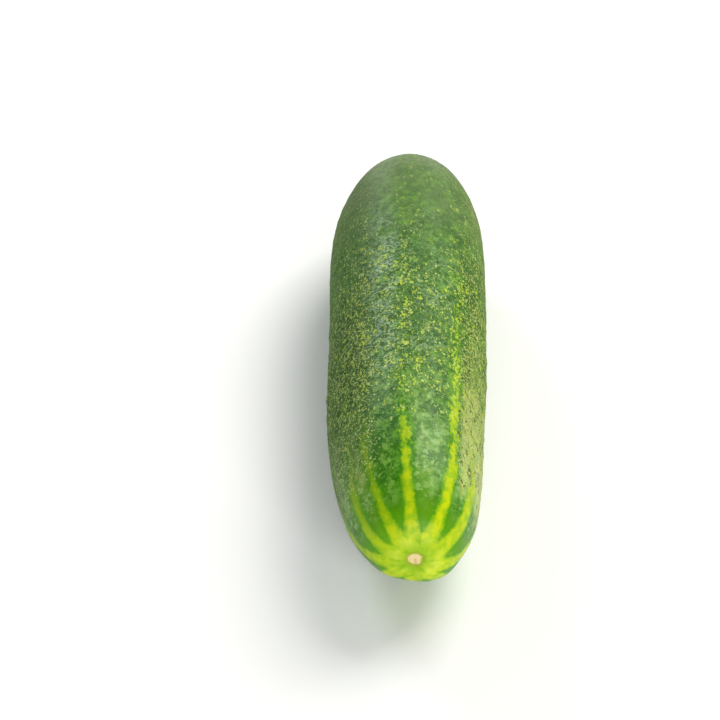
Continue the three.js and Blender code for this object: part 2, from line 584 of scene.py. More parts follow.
        # The strip is where the window lamp's reflection is painted whitest.
        strip = coat.times(coat.span(Field.SIDE, -0.6, -0.4), coat.span(Field.SIDE, -0.08, -0.24))
        clouds = coat.span(coat.noise(9.0), 0.4, 0.6, 0.0, 0.4)
        spans = ((Field.ALONG, 38.0, 64.0), (Field.ALONG, 150.0, 105.0, 0.25, 1.0),
                 (Field.STRIPE, -0.8, -3.0), (Field.SIDE, 0.75, 0.5, 0.3, 1.0))
        zone = coat.times(*(coat.span(*numbers) for numbers in spans),
                          coat.add(0.3, coat.times(strip, 0.4), clouds))
        white = coat.add(coat.times(strip, 0.5), coat.span(coat.noise(7.0), 0.42, 0.6, 0.0, 0.5))
        tint = coat.mix(white, self.glint_green, self.glint)
        # Painted shade in the cells between the wrinkles, painted glints on the wrinkles and in loose
        # specks.
        coat.over(coat.times(coat.span(net, 0.5, 0.0), zone, 0.6), self.shade)
        coat.over(coat.times(net, broken, zone, 0.74), tint)
        glint_dots = coat.specks(0.9, coat.times(zone, 0.5), 0.6)[0]
        coat.over(coat.times(glint_dots, 0.6), tint)
        return coat.times(net, coat.span(Field.ALONG, 25.0, 60.0))

    def stripes(self, coat: Coat) -> None:
        """Pale stripes that run from the blossom end and break up into flecks.

        Args:
            coat: The skin in the making.
        """
        drawn = coat.place(0.55)
        beads = coat.times(coat.sway(3.2, 1.0, drawn), coat.span(Field.ALONG, 3.0, 32.0, 0.4, 1.5))
        ragged = coat.times(coat.sway(1.0, 1.0, drawn), coat.span(Field.ALONG, 8.0, 46.0, 0.35, 1.9))
        depth = coat.add(Field.STRIPE, beads, ragged)
        # The stripes lose their green under the painted light on the right flank.
        green = coat.span(Field.LIT_CREAM, 0.2, 0.9, 1.0, 0.2)
        for tint, start, end, fade in ((self.vivid, -1.9, -0.4, (100.0, 40.0, 0.1, 0.62)),
                                       (self.stripe_rim, -0.75, 0.1, (120.0, 50.0, 0.4, 0.9))):
            coat.over(coat.times(coat.span(depth, start, end), coat.span(Field.ALONG, *fade), green), tint)
        tone = coat.span(coat.noise(2.4, detail=3.0, rough=0.6), 0.38, 0.6)
        edge = coat.add(coat.times(coat.span(depth, -0.75, 0.95), coat.span(Field.ALONG, 60.0, 20.0)),
                        coat.times(coat.span(depth, -0.2, 0.5), coat.span(Field.ALONG, 20.0, 60.0)))
        strength = coat.times(edge, Field.GLOW, coat.span(Field.ALONG, 32.0, 55.0, 1.0, 0.74))
        coat.over(strength, coat.mix(tone, self.stripe_soft, self.stripe))

    def stipple(self, coat: Coat) -> Socket:
        """Fine pimples with pale tips, dense and dusty on both flanks, with painted shade over the flanks,
        heavier on the left away from the key lamp, and in the hollows between the pimples.

        Args:
            coat: The skin in the making.

        Returns:
            Height of the pimples.
        """
        flanks = coat.add(coat.span(Field.SIDE, -0.32, -0.6, 0.06, 0.94),
                          coat.span(Field.SIDE, 0.6, 0.74, 0.0, 0.94))
        grown = coat.times(flanks, coat.span(Field.ALONG, 12.0, 27.0),
                           coat.span(Field.ALONG, 130.0, 78.0, 0.4, 1.0),
                           coat.span(coat.noise(5.0), 0.3, 0.5, 0.6, 1.0))
        # Painted shade over the flanks, heavier on the left flank away from the key lamp.
        shade = coat.times(grown, coat.span(Field.SIDE, 0.5, -0.5, 0.22, 0.78),
                           coat.span(Field.ALONG, 18.0, 50.0, 0.45, 1.0))
        coat.over(shade, self.shade)
        amount = coat.times(grown, coat.span(Field.SIDE, 0.4, 0.7, 0.0, 0.66))
        # Painted shade in the hollows between the pimples.
        hollows = coat.specks(1.25, amount, 0.6, 1.35, coat.place(0.6))[0]
        coat.over(coat.times(hollows, 0.8), self.shade)
        tips, domes = coat.specks(0.72, coat.times(grown, 1.12), 0.35, 1.2)
        # The tips are painted paler on the right flank, painted light where the key lamp falls.
        dust = coat.mix(coat.span(Field.SIDE, 0.2, 0.7), self.dust, self.dust_lit)
        coat.over(coat.times(tips, 0.85), dust)
        return domes

    def flecks(self, coat: Coat) -> None:
        """Loose yellow-green flecks, a few of them dry at the tip.

        Args:
            coat: The skin in the making.
        """
        drawn = coat.place(0.62)
        large = coat.specks(1.45, coat.times(Field.FLECK, 0.7), 0.65, where=drawn)[0]
        dry = coat.times(coat.span(coat.noise(2.2), 0.62, 0.7), 0.6)
        coat.over(coat.times(large, 0.85), coat.mix(dry, self.fleck, self.fleck_dry))
        fine = coat.specks(0.82, coat.times(Field.FLECK, 1.1), 0.6, 1.1, drawn)[0]
        pale = coat.span(coat.noise(3.0), 0.42, 0.58)
        coat.over(coat.times(fine, 0.85), coat.mix(pale, self.fleck, self.fleck_pale))

    def haze(self, coat: Coat) -> None:
        """Dull, evenly bloomed skin over the half towards the stem."""
        rubbed = coat.span(coat.noise(16.0, detail=3.0), 0.35, 0.62, 0.7, 1.15)
        coat.over(coat.times(coat.span(Field.ALONG, 104.0, 176.0, 0.0, 0.5), rubbed), self.dull)

    def ends(self, coat: Coat) -> None:
        """The pale star and the scar at the blossom end, the dry wart tips and the stem's seat, with painted
        shade in the dips round the scar and the seat.

        Args:
            coat: The skin in the making.
        """
        swept = {0: coat.times(Field.SIDE, 3.0 * MM), 1: coat.times(Field.TOP, 3.0 * MM),
                 2: coat.times(Field.REACH, 0.12 * MM)}
        rays = coat.node("ShaderNodeCombineXYZ", swept).outputs[0]
        streaks = coat.times(coat.span(coat.noise(1.5, rays), 0.4, 0.64), 0.5)
        patches = coat.times(coat.span(coat.noise(3.4, detail=3.0), 0.4, 0.62), 0.5)
        pale = coat.times(coat.add(streaks, patches), coat.span(Field.REACH, 2.0, 6.5, 0.15, 1.0))
        star = coat.mix(pale, self.star, self.star_pale)
        coat.over(coat.span(coat.add(Field.REACH, coat.sway(3.0, 2.4)), 11.0, 4.0), star)
        coat.over(coat.span(Field.SPINE, 0.5, 0.9, 0.0, 0.6), self.spine)
        # Painted shade in the dip round the scar.
        coat.over(coat.span(Field.REACH, 3.5, 2.0, 0.0, 0.75), self.ring_shade)
        corky = coat.mix(coat.span(coat.noise(0.6, detail=3.0), 0.3, 0.7, 0.0, 0.4), self.scar, self.spine)
        coat.over(coat.span(coat.add(Field.REACH, coat.sway(1.0, 0.25)), 2.15, 1.5), corky)
        # Painted shade in the dip round the stem's seat.
        seat = coat.span(coat.add(Field.RIM, coat.sway(1.2, 0.3)), 0.95, 0.3, 0.0, 0.6)
        coat.over(seat, self.ring_shade)

    def surface(self, coat: Coat, pimples: Socket, net: Socket) -> tuple[Socket, Socket]:
        """Roughness and normal of the skin.

        Args:
            coat: The skin in the making.
            pimples: Height of the pimples.
            net: Height of the wrinkles' net.

        Returns:
            The roughness and the normal.
        """
        grown = coat.span(Field.ALONG, 14.0, 50.0, 0.12, 1.0)
        height, pits = coat.grain(0.55)
        normal = coat.bump(height, 0.13, coat.bump(pimples, 0.2, coat.bump(net, 0.16)), grown)
        flank = coat.span(coat.math("ABSOLUTE", Field.SIDE), 0.4, 0.85, 0.0, 0.3)
        patches = coat.span(coat.noise(6.0, detail=3.0), 0.3, 0.7, -0.05, 0.06)
        base = coat.add(coat.span(Field.ALONG, 30.0, 60.0, self.smooth, self.coarse),
                        coat.span(Field.REACH, 13.0, 8.0, 0.0, 0.16))
        return coat.add(patches, base, coat.times(flank, grown), coat.times(pits, 0.1)), normal

    def material(self, effects: Effects) -> Material:
        """Builds the material.

        Args:
            effects: The shared node groups.

        Returns:
            The skin.
        """
        coat = Coat("waxy cucumber skin", effects)
        self.ground(coat)
        self.dabs(coat)
        net = self.wrinkle_glints(coat)
        self.stripes(coat)
        pimples = self.stipple(coat)
        for layer in (self.flecks, self.haze, self.ends):
            layer(coat)
        roughness, normal = self.surface(coat, pimples, net)
        return coat.finish(Roughness=roughness, Normal=normal, IOR=self.bending,
                           Specular_IOR_Level=self.gleam)


@dataclass(frozen=True)
class StemFinish:
    """Ridged green stalk with a dry pale cut."""

    green: Colour = rgb(98, 124, 52)
    pale: Colour = rgb(150, 166, 96)
    cut: Colour = rgb(196, 190, 138)
    core: Colour = rgb(142, 150, 84)

    def material(self, effects: Effects) -> Material:
        """Builds the material.

        Args:
            effects: The shared node groups.

        Returns:
            The stalk.
        """
        coat = Coat("cut stalk", effects)
        drawn = coat.place(0.25)
        streaks = coat.noise(0.8, drawn, 4.0, 0.6)
        coat.colour = coat.mix(coat.span(streaks, 0.35, 0.68), self.green, self.pale)
        coat.over(coat.times(coat.specks(0.5, 0.6)[0], 0.5), self.pale)
        face = coat.mix(coat.span(coat.noise(0.7, detail=3.0), 0.35, 0.65), self.cut, self.core)
        coat.over(coat.span(Field.RIM, 0.45, 0.55), face)
        return coat.finish(Roughness=coat.span(streaks, 0.3, 0.7, 0.55, 0.75),
                           Normal=coat.bump(coat.grain(0.5, drawn)[0], 0.12))


@dataclass(frozen=True)
class BristleFinish:
    """Pale hairs, darker at the root."""

    root: Colour = rgb(118, 130, 50)
    tip: Colour = rgb(206, 200, 140)
    roughness: float = 0.5

    def material(self, effects: Effects) -> Material:
        """Builds the material.

        Args:
            effects: The shared node groups.

        Returns:
            The hairs.
        """
        coat = Coat("pale bristle", effects)
        coat.colour = coat.mix(coat.span(Field.SPINE, 0.0, 1.0), self.root, self.tip)
        coat.over(coat.times(coat.specks(2.0, 0.9)[0], 0.3), self.root)
        return coat.finish(Roughness=self.roughness)


@dataclass(frozen=True)
class FloorFinish:
    """Plain pale matte floor."""

    tone: Colour = rgb(246, 246, 245)
    cloud: Colour = rgb(225, 225, 222)
    roughness: float = 0.85

    def material(self) -> Material:
        """Builds the material."""
        coat = Coat("pale floor")
        coat.colour = coat.mix(coat.span(coat.noise(300.0), 0.3, 0.7, 0.0, 0.02), self.tone, self.cloud)
        return coat.finish(Roughness=self.roughness)


# --- Meshes ----------------------------------------------------------------


def make_object(name: str, points: Array, faces: Array, tips: Array | None = None,
                fields: dict[Field, Array] | None = None) -> Object:
    """Makes a smooth mesh object from points in millimetres.

    Args:
        name: The object's name.
        points: One row for each point, mm.
        faces: Four-sided faces, one row each.
        tips: Three-sided faces, one row each.
        fields: Values to keep on the points.

    Returns:
        The new object, linked to the scene.
    """
    tips = np.zeros((0, 3), int) if tips is None else tips
    mesh = bpy.data.meshes.new(name)
    mesh.vertices.add(len(points))
    mesh.vertices.foreach_set("co", (points * MM).astype(np.float32).ravel())
    loops = np.concatenate([faces.ravel(), tips.ravel()])
    starts = np.concatenate([np.arange(len(faces)) * 4, len(faces) * 4 + np.arange(len(tips)) * 3])
    mesh.loops.add(len(loops))
    mesh.loops.foreach_set("vertex_index", loops.astype(np.int32))
    mesh.polygons.add(len(starts))
    mesh.polygons.foreach_set("loop_start", starts.astype(np.int32))
    mesh.update(calc_edges=True)
    mesh.validate()
    mesh.shade_smooth()
    for label, values in (fields or {}).items():
        layer = mesh.attributes.new(label.value, "FLOAT", "POINT")
        layer.data.foreach_set("value", values.astype(np.float32))
    made = bpy.data.objects.new(name, mesh)
    bpy.context.scene.collection.objects.link(made)
    return made


def close_rings(name: str, rings: int, points: Array, fields: dict[Field, Array]) -> Object:
    """Joins rings of points into one closed mesh, with a point in the middle of each end.

    Args:
        name: The object's name.
        rings: Number of rings.
        points: The points, ring after ring, mm.
        fields: Values to keep on them.

    Returns:
        The new object.
    """
    spots = len(points) // rings

    def closed(values: Array) -> Array:
        """Values with the means of both end rings behind them."""
        return np.concatenate([values, [values[:spots].mean(0), values[-spots:].mean(0)]])

    ring, spot = (part.ravel() for part in np.mgrid[: rings - 1, :spots])
    after = (spot + 1) % spots
    low, high = ring * spots, (ring + 1) * spots
    faces = np.column_stack([low + spot, high + spot, high + after, low + after])
    head, tail = np.full(spots, len(points)), np.full(spots, len(points) + 1)
    turn, end = np.arange(spots), (rings - 1) * spots
    after = (turn + 1) % spots
    tips = np.vstack([np.column_stack([head, turn, after]),
                      np.column_stack([tail, end + after, end + turn])])
    return make_object(name, closed(points), faces, tips, {key: closed(v) for key, v in fields.items()})


@dataclass(frozen=True)
class Skin:
    """Where each point of the fruit's skin is."""

    radius: Array  # mean radius there, mm
    along: Array  # distance behind the blossom tip, mm
    reach: Array  # distance over the skin from the scar's middle, mm
    turn: Array  # angle round the fruit, radians

    @property
    def angle(self) -> Array:
        """Angle round the fruit, degrees."""
        return np.degrees(self.turn)


@dataclass(frozen=True)
class Stripe:
    """One pale stripe that runs back from the blossom end."""

    angles: tuple[float, float, float, float]  # at STATIONS, degrees
    widths: tuple[float, float, float, float]  # half widths there, mm
    solid: float  # it is whole as far back as this, mm
    end: float  # and has broken up here, mm
    glow: float  # how yellow it is
    trail: float  # how many flecks carry it on
    STATIONS = (2.0, 10.0, 30.0, 60.0)

    def away(self, skin: Skin) -> Array:
        """Distance of each point from the stripe's middle, round the fruit, mm."""
        middle = np.interp(skin.along, self.STATIONS, self.angles)
        return np.abs(np.radians(turned(skin.angle, middle))) * skin.radius

    def half(self, along: Array) -> Array:
        """Half width of the stripe in mm, going below zero where it breaks up."""
        width = np.interp(along, self.STATIONS, self.widths)
        return width - 2.4 * ease(along, self.solid, self.end) - 3.0 * ease(along, self.end, self.end + 10.0)


@dataclass(frozen=True)
class Patch:
    """A broad soft place on the fruit, paler or deeper than the rest, or higher or lower; some paler and
    deeper ones are painted light and painted shadow.
    """

    angle: float
    along: float
    turn: float  # spread round the fruit, degrees
    run: float  # spread along it, mm
    amount: float  # tone, or height in mm

    def at(self, skin: Skin) -> Array:
        """The tone or the height that the patch adds at each point."""
        across = turned(skin.angle, self.angle) / self.turn
        return self.amount * np.exp(-(across**2) - ((skin.along - self.along) / self.run) ** 2)


@dataclass
class Fruit:
    """The cucumber's body, with its real surface down to about half a millimetre."""

    length: float = 199.0
    full_radius: float = 25.0
    scar_radius: float = 2.2
    scar_depth: float = 0.45
    seat_radius: float = 4.9
    seat_depth: float = 0.7
    lobes: int = 3
    lobe_share: float = 0.016
    ribs: int = 10
    rib_height: float = 0.22
    rib_phase: float = -2.0
    rest_cut: float = 0.35
    axis_side: tuple[float, ...] = (-0.2, -1.6, -0.2, 0.7, 2.2)
    axis_rise: tuple[float, ...] = (-1.5, -0.75, 0.0, 0.65, 1.15)
    rings: int = 368
    round: int = 258
    hole: float = 0.02  # radius of the first and last ring
    samples: int = 6000  # fine samples of the outline, to place the rings
    end_samples: int = 300  # and of the flat at each end
    warts: int = 330
    seed: int = 11
    stripes: tuple[Stripe, ...] = (
        Stripe((-4.5, -5.8, -4.2, -2.2), (1.5, 1.05, 0.9, 0.35), 28.0, 62.0, 0.86, 0.7),
        Stripe((32.0, 34.5, 37.8, 38.5), (1.7, 1.3, 1.25, 1.15), 38.0, 100.0, 1.0, 0.85),
        Stripe((68.5, 65.0, 62.5, 62.0), (2.0, 1.8, 1.2, 0.7), 20.0, 56.0, 0.88, 0.7),
        Stripe((113.0, 106.0, 104.0, 103.0), (2.0, 1.6, 1.0, 0.4), 30.0, 64.0, 0.9, 0.7),
        Stripe((146.0, 141.0, 139.0, 140.0), (1.9, 1.4, 0.9, 0.3), 28.0, 60.0, 0.9, 0.6),
        Stripe((181.0, 179.0, 178.0, 177.0), (2.0, 1.6, 1.1, 0.4), 34.0, 72.0, 1.0, 0.8),
        Stripe((219.0, 217.0, 216.0, 217.0), (1.9, 1.5, 1.0, 0.3), 30.0, 66.0, 0.9, 0.7),
        Stripe((255.0, 257.0, 259.0, 260.0), (1.9, 1.4, 0.8, 0.3), 24.0, 52.0, 0.7, 0.6),
        Stripe((285.0, 293.0, 305.0, 308.0), (1.5, 1.05, 0.95, 0.7), 22.0, 56.0, 0.4, 0.4),
        Stripe((324.0, 322.8, 322.0, 325.0), (1.5, 0.8, 0.65, 0.5), 24.0, 60.0, 0.55, 0.5),
    )
    patches: tuple[Patch, ...] = (
        # The patch at 12 degrees, 31 mm on the next line is a painted reflection of the key lamp.
        Patch(12.0, 31.0, 13.0, 22.0, 0.5), Patch(-18.0, 12.0, 12.0, 20.0, -0.45),
        # The patch at 62 degrees, 38 mm on the next line is painted light on the lit right flank.
        Patch(50.0, 10.0, 6.0, 9.0, -0.3), Patch(62.0, 38.0, 20.0, 34.0, 0.5),
        # The patch at 60 degrees, 108 mm on the next line is a painted shadow.
        Patch(60.0, 108.0, 22.0, 24.0, -0.55), Patch(-50.0, 24.0, 16.0, 20.0, 0.95),
        Patch(-76.0, 20.0, 14.0, 24.0, 0.3), Patch(122.0, 14.0, 10.0, 14.0, -0.5),
        Patch(150.0, 60.0, 35.0, 50.0, 0.6), Patch(-150.0, 90.0, 30.0, 60.0, 0.4),
        Patch(-125.0, 16.0, 10.0, 18.0, -0.5), Patch(-5.0, 82.0, 32.0, 42.0, -0.6),
    )
    swells: tuple[Patch, ...] = (
        Patch(143.0, 7.0, 26.0, 7.0, 0.75), Patch(190.0, 6.0, 20.0, 6.0, -0.4),
    )
    object: Object | None = field(default=None, init=False)

    def outline(self) -> Array:
        """Control points of the outline, radius and distance behind the tip, mm."""
        return np.array([
            (self.scar_radius, 0.25 + self.scar_depth), (3.2, 0.34), (4.6, 0.58), (6.3, 1.1), (8.5, 2.1),
            (11.1, 4.0), (13.1, 6.2), (14.7, 8.7), (16.8, 13.2), (18.8, 20.0), (20.6, 30.0), (22.1, 43.0),
            (23.2, 60.0), (24.0, 80.0), (24.5, 105.0), (24.85, 128.0), (self.full_radius, 146.0),
            (24.3, 159.5), (22.5, 170.0), (19.5, 180.0), (16.3, 187.0), (12.9, 192.3), (9.4, 196.2),
            (7.2, self.length - 0.9), (6.2, self.length - 0.3), (5.5, self.length - 0.25),
            (self.seat_radius, self.length - self.seat_depth),
        ])

    def profile(self) -> tuple[Array, ...]:
        """Places the rings, closer together at the two ends.

        Returns:
            Radius, distance behind the tip, and distance over the skin from the scar's middle, all mm.
        """
        fine, steps = spline(self.outline(), np.linspace(0.0, 1.0, self.samples)), self.end_samples
        head = np.linspace(self.hole, self.scar_radius, steps, endpoint=False)
        tail = np.linspace(self.seat_radius, self.hole, steps)[1:]
        fine = np.vstack([np.column_stack([head, np.full(steps, fine[0, 1])]), fine,
                          np.column_stack([tail, np.full(steps - 1, fine[-1, 1])])])
        step = np.diff(fine, axis=0)
        size = np.hypot(step[:, 0], step[:, 1])
        reach = np.concatenate([[0.0], np.cumsum(size)])
        weight = np.concatenate([[0.0], np.cumsum(size * (1.0 + 0.9 * np.abs(step[:, 0]) / size))])
        index = np.arange(len(fine))
        pick = np.interp(np.linspace(0.0, weight[-1], self.rings), weight, index)
        return tuple(np.interp(pick, index, values) for values in (fine[:, 0], fine[:, 1], reach))

    def smooth_points(self, skin: Skin) -> Array:
        """The body with lobes and ribs but no fine surface.

        Args:
            skin: Where the points are.

        Returns:
            One row for each point, mm, the tip at y = 0.
        """
        along, turn = skin.along, skin.turn
        body = swathe(along, 4.0, 45.0, 150.0, 192.0)
        lobe = self.lobe_share * body * np.cos(self.lobes * turn)
        rise = swathe(along, 2.5, 11.5, 18.0, 62.0)
        rib = self.rib_height / self.full_radius * rise
        rib = rib * np.cos(self.ribs * (turn - math.radians(self.rib_phase)))
        wide = skin.radius * (1.0 + lobe + rib)
        centre = spline(np.array([self.axis_side, self.axis_rise]).T, along / self.length)
        return np.column_stack([centre[:, 0] + wide * np.sin(turn), along,
                                centre[:, 1] + wide * np.cos(turn)])

    def outward(self, points: Array) -> Array:
        """Directions out of the skin.

        Args:
            points: The smooth body's points, ring after ring, mm.

        Returns:
            One row for each point.
        """
        grid = points.reshape(self.rings, self.round, 3)
        across = np.roll(grid, -1, axis=1) - np.roll(grid, 1, axis=1)
        normal = np.cross(across, np.gradient(grid, axis=0)).reshape(-1, 3)
        normal /= np.linalg.norm(normal, axis=1, keepdims=True) + TINY
        out = np.sum(normal * (points - [0.0, self.length / 2, 0.0]), axis=1)
        return -normal if np.median(out) < 0.0 else normal

    def wart_field(self, points: Array, skin: Skin) -> tuple[Array, Array]:
        """Scatters the warts and measures how each point stands to them.

        Args:
            points: The smooth body's points, mm.
            skin: Where the points are.

        Returns:
            Height in mm, and closeness to a dry tip.
        """
        along, draw = skin.along, np.random.default_rng(self.seed)
        chance = swathe(along, 14.0, 60.0, 150.0, 188.0, 0.8) * np.clip(skin.radius, 0.0, self.full_radius)
        chance /= chance.sum()
        picks: list[int] = []
        for index in draw.choice(len(points), self.warts * 6, p=chance):
            if len(picks) >= self.warts:
                break
            gap = 4.4 if along[index] < 90.0 else 5.4
            if not picks or np.min(np.linalg.norm(points[picks] - points[index], axis=1)) > gap:
                picks.append(int(index))
        tree = kdtree.KDTree(len(picks))
        for number, index in enumerate(picks):
            tree.insert(Vector(points[index]), number)
        tree.balance()
        wide = draw.uniform(1.3, 2.3, len(picks))
        tall = draw.uniform(0.1, 0.26, len(picks)) * (0.35 + 0.65 * ease(along[picks], 20.0, 70.0))
        tall *= 1.0 - 0.9 * ease(along[picks], 120.0, 160.0)
        height, spine = np.zeros(len(points)), np.zeros(len(points))
        for number, place in enumerate(points):
            _, nearest, distance = tree.find(Vector(place))
            if distance < wide[nearest]:
                height[number] = (1.0 - (distance / wide[nearest]) ** 2) ** 2 * tall[nearest]
                spine[number] = max(0.0, 1.0 - distance / 0.6)
        return height, spine

    def relief(self, points: Array, skin: Skin, wart: Array) -> Array:
        """Height of the fine surface: dents, wrinkles, warts, the scar's bites and the stem's folds.

        Args:
            points: The smooth body's points, mm.
            skin: Where the points are.
            wart: Height of the warts, mm.

        Returns:
            Height over the smooth body, mm.
        """
        broad, middle, small = (LatticeNoise(self.seed + number) for number in range(3))
        along, turn = skin.along, skin.turn
        body = swathe(along, 3.0, 25.0, 185.0, 198.0)
        mid = swathe(along, 30.0, 75.0, 150.0, 190.0, 0.5)
        far = 1.0 - 0.6 * ease(along, 105.0, 160.0)
        height = far * body * (0.2 * broad.at(points, 19.0) + 0.09 * middle.at(points, 6.0))
        height += np.sum([swell.at(skin) for swell in self.swells], axis=0)
        height += (0.03 + 0.07 * mid) * body * small.at(points, 2.1)
        height += 0.05 * mid * small.at(points + 31.0, 1.15)
        height += wart * (1.0 - ease(along, 186.0, 196.0))
        bite = ease(skin.reach, 4.5, 2.3) * (0.12 * small.at(points, 1.3) - 0.05)
        pucker = swathe(along, 190.5, 196.0, 197.5, self.length)
        fold = 0.2 * np.cos(5.0 * turn + 0.6) + 0.1 * np.cos(13.0 * turn + 2.0 * broad.at(points, 30.0))
        return height + (bite + pucker * fold)

    def build(self) -> None:
        """Makes the mesh, its values and its map, and puts it where the CAD fruit is."""
        rings = self.profile()
        turns = np.arange(self.round) * 2.0 * np.pi / self.round - np.pi
        skin = Skin(*(np.repeat(values, self.round) for values in rings), np.tile(turns, self.rings))
        smooth = self.smooth_points(skin)
        wart, spine = self.wart_field(smooth, skin)
        points = smooth + self.outward(smooth) * self.relief(smooth, skin, wart)[:, None]
        floor = max(points[:, 2].min(), smooth[:, 2].min()) + self.rest_cut
        points[:, 2] = np.maximum(points[:, 2], floor)
        self.object = close_rings("fruit_body", self.rings, points, self.marks(skin) | {Field.SPINE: spine})
        self.map_skin(rings[2] / rings[2][-1])
        self.put_in_place(floor)

    def marks(self, skin: Skin) -> dict[Field, Array]:
        """Works out where the stripes, the flecks and the paler places are, painted light and painted shadow
        among them.

        Args:
            skin: Where the points are.

        Returns:
            The values that the skin's finish reads.
        """
        along, reach = skin.along, skin.reach
        side, top = np.sin(np.radians(skin.angle)), np.cos(np.radians(skin.angle))
        away = np.array([stripe.away(skin) for stripe in self.stripes])
        inside = np.array([stripe.half(along) for stripe in self.stripes]) - away
        nearest = np.argmin(away, axis=0)
        star = 2.2 * np.exp(-np.maximum(reach - 5.0, 0.0) / 2.9)
        glow = np.array([stripe.glow for stripe in self.stripes])[nearest]
        glow = glow + (1.0 - glow) * np.exp(-np.maximum(reach - 6.0, 0.0) / 6.0)
        trail = np.array([stripe.trail for stripe in self.stripes])[nearest]
        belt = swathe(along, 28.0, 54.0, 95.0, 140.0, 0.72)
        belt *= 1.0 - ease(along, 175.0, 195.0)
        line = np.exp(-((np.min(away, axis=0) / 1.9) ** 2))
        # Painted light: the side term makes the right flank paler where the key lamp falls.
        tone = np.sum([patch.at(skin) for patch in self.patches], axis=0) + 0.2 * ease(side, 0.35, 0.95)
        # Painted light: a pale creamy green on the lit right flank.
        lit_cream = swathe(turned(skin.angle, 0.0), 38.0, 54.0, 92.0, 124.0)
        lit_cream *= swathe(along, 9.0, 24.0, 29.0, 84.0, 0.85)
        dusty = ease(-side, 0.4, 0.75)
        return {
            Field.ALONG: along,
            Field.REACH: reach,
            Field.STRIPE: np.clip(np.max(inside, axis=0) + star, -8.0, 4.0),
            Field.GLOW: glow,
            Field.FLECK: belt * (1.0 - 0.7 * lit_cream) * (1.0 - 0.55 * dusty) * (0.42 + 0.55 * trail * line),
            Field.LIT_CREAM: lit_cream,
            Field.TONE: tone,
            Field.SIDE: side,
            Field.TOP: top,
            Field.RIM: self.length - along,
        }

    def map_skin(self, share: Array) -> None:
        """Unrolls the skin into a map for its colours.

        Args:
            share: How far over the skin each ring lies, 0 to 1.
        """
        margin = 0.01  # of the map, for the point in the middle of each end
        v = margin + (1.0 - 2.0 * margin) * share
        ring, spot = (part.reshape(-1, 1) for part in np.mgrid[: self.rings - 1, : self.round])
        turn = np.arange(self.round)[:, None]
        corners = (
            (spot + [0, 0, 1, 1], v[ring + [0, 1, 1, 0]]),
            (turn + [0.5, 0, 1], np.tile([0.0, v[0], v[0]], (self.round, 1))),
            (turn + [0.5, 1, 0], np.tile([1.0, v[-1], v[-1]], (self.round, 1))),
        )
        flat = np.concatenate([np.stack([u / self.round, up], axis=2).ravel() for u, up in corners])
        layer = self.object.data.uv_layers.new(name="OFBake")
        layer.data.foreach_set("uv", flat.astype(np.float32))

    def put_in_place(self, floor: float) -> None:
        """Moves the mesh so that it lies in the CAD fruit's box.

        Args:
            floor: Height of the flattened belly before the move, mm.
        """
        low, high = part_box("fruit")
        mesh = self.object.data
        co = np.empty(len(mesh.vertices) * 3, np.float32)
        mesh.vertices.foreach_get("co", co)
        co = co.reshape(-1, 3)
        shift = np.array([(low.x + high.x) / 2 - (co[:, 0].min() + co[:, 0].max()) / 2,
                          (low.y + high.y) / 2 - (co[:, 1].min() + co[:, 1].max()) / 2,
                          low.z - floor * MM], np.float32)
        mesh.vertices.foreach_set("co", (co + shift).ravel())
        mesh.update()

    def dress(self, effects: Effects) -> None:
        """Gives the fruit its skin and its place in the frame.

        Args:
            effects: The shared node groups.
        """
        self.object.data.materials.append(SkinFinish().material(effects))
        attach(self.object, "root")
        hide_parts("fruit")


